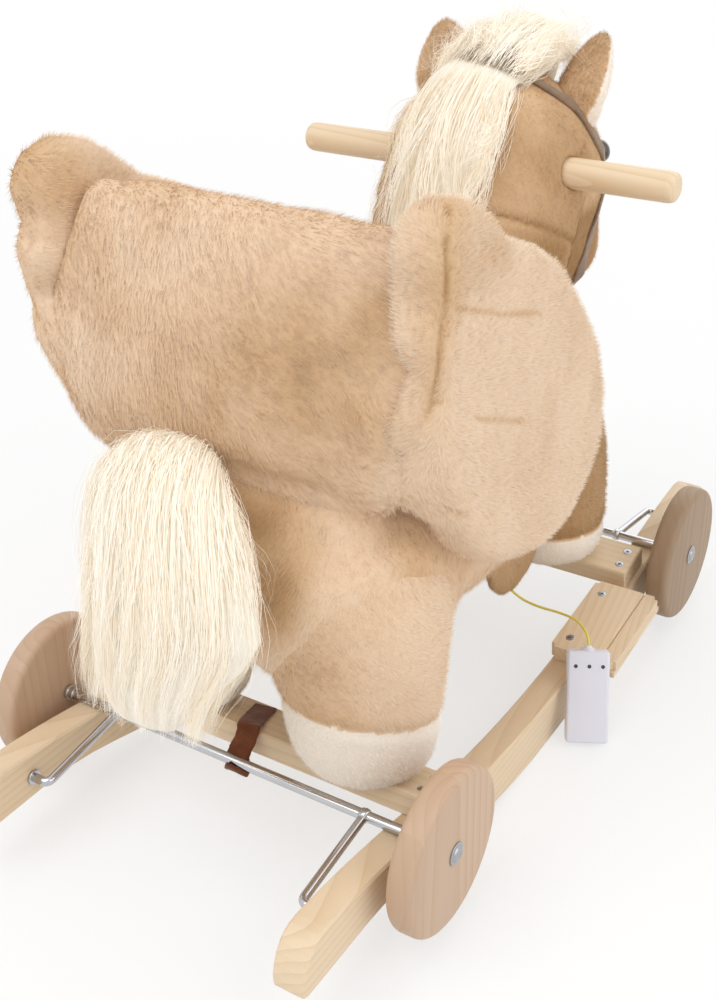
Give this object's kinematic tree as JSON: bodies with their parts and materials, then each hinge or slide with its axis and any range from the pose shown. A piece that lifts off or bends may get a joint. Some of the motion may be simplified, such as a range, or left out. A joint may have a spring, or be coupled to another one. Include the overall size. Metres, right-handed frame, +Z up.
{
  "type": "ride-on rocking horse",
  "caption": "Plush ride-on horse with a winged seat back on wooden rockers, with wheel frames that fold over the rocker ends, a grip dowel and a corded sound box.",
  "frame": {"origin": "ground point below the middle of the toy", "axes": "+Z up, the horse faces -Y, its left side is +X"},
  "size_m": [0.3833, 0.716, 0.5312],
  "materials": {
    "pine": "satin",
    "chrome": "polished",
    "steel": "satin",
    "plush": "pile",
    "plush_pale": "pile",
    "plush_dark": "pile",
    "hair": "long pile",
    "suede": "napped",
    "eye": "gloss",
    "box": "matte",
    "cable": "satin"
  },
  "bodies": {
    "rear_axle": {"axle_frame_rear": "chrome", "hub_cap_rear_left": "chrome", "hub_cap_rear_right": "chrome"},
    "front_axle": {"axle_frame_front": "chrome", "hub_cap_front_left": "chrome", "hub_cap_front_right": "chrome"},
    "base": {"belly_flap": "plush", "bridle": "suede", "crossbar_front": "pine", "crossbar_rear": "pine", "ear_left": "plush_dark", "ear_right": "plush_dark", "eye_left": "eye", "eye_right": "eye", "footrest_board_left": "pine", "footrest_board_right": "pine", "footrest_strip_left": "pine", "footrest_strip_right": "pine", "grip_dowel": "pine", "head": "plush_dark", "leg_bolt_front_left": "steel", "leg_bolt_front_right": "steel", "leg_bolt_rear_left": "steel", "leg_bolt_rear_right": "steel", "leg_front_left": "plush_pale", "leg_front_right": "plush_pale", "leg_post_front_left": "pine", "leg_post_front_right": "pine", "leg_post_rear_left": "pine", "leg_post_rear_right": "pine", "leg_rear_left": "plush_pale", "leg_rear_right": "plush_pale", "mane": "hair", "neck_post": "pine", "rocker_left": "pine", "rocker_right": "pine", "screw_bar_front_left_a": "steel", "screw_bar_front_left_b": "steel", "screw_bar_front_right_a": "steel", "screw_bar_front_right_b": "steel", "screw_bar_rear_left_a": "steel", "screw_bar_rear_left_b": "steel", "screw_bar_rear_right_a": "steel", "screw_bar_rear_right_b": "steel", "screw_footrest_left_a": "steel", "screw_footrest_left_b": "steel", "screw_footrest_right_a": "steel", "screw_footrest_right_b": "steel", "seat_back": "plush", "sound_box": "box", "sound_cable": "cable", "strap": "suede", "tail": "hair", "torso": "plush", "wing_left": "plush_pale", "wing_right": "plush_pale"},
    "wheel_front_left": {"wheel_front_left": "pine"},
    "wheel_front_right": {"wheel_front_right": "pine"},
    "wheel_rear_left": {"wheel_rear_left": "pine"},
    "wheel_rear_right": {"wheel_rear_right": "pine"}
  },
  "joints": [
    {"name": "rear_axle_swing", "type": "hinge", "parent": "base", "child": "rear_axle", "pos_m": [0, 0.3033, 0.0606], "axis": [-1, 0, 0], "range_deg": [0, 327]},
    {"name": "front_axle_swing", "type": "hinge", "parent": "base", "child": "front_axle", "pos_m": [0, -0.3033, 0.0606], "axis": [1, 0, 0], "range_deg": [0, 327]},
    {"name": "wheel_rear_left_spin", "type": "hinge", "parent": "rear_axle", "child": "wheel_rear_left", "pos_m": [0.1736, 0.22372, 0.07333], "axis": [1, 0, 0], "continuous": true},
    {"name": "wheel_rear_right_spin", "type": "hinge", "parent": "rear_axle", "child": "wheel_rear_right", "pos_m": [-0.1736, 0.22372, 0.07333], "axis": [1, 0, 0], "continuous": true},
    {"name": "wheel_front_left_spin", "type": "hinge", "parent": "front_axle", "child": "wheel_front_left", "pos_m": [0.1736, -0.22372, 0.07333], "axis": [1, 0, 0], "continuous": true},
    {"name": "wheel_front_right_spin", "type": "hinge", "parent": "front_axle", "child": "wheel_front_right", "pos_m": [-0.1736, -0.22372, 0.07333], "axis": [1, 0, 0], "continuous": true}
  ]
}
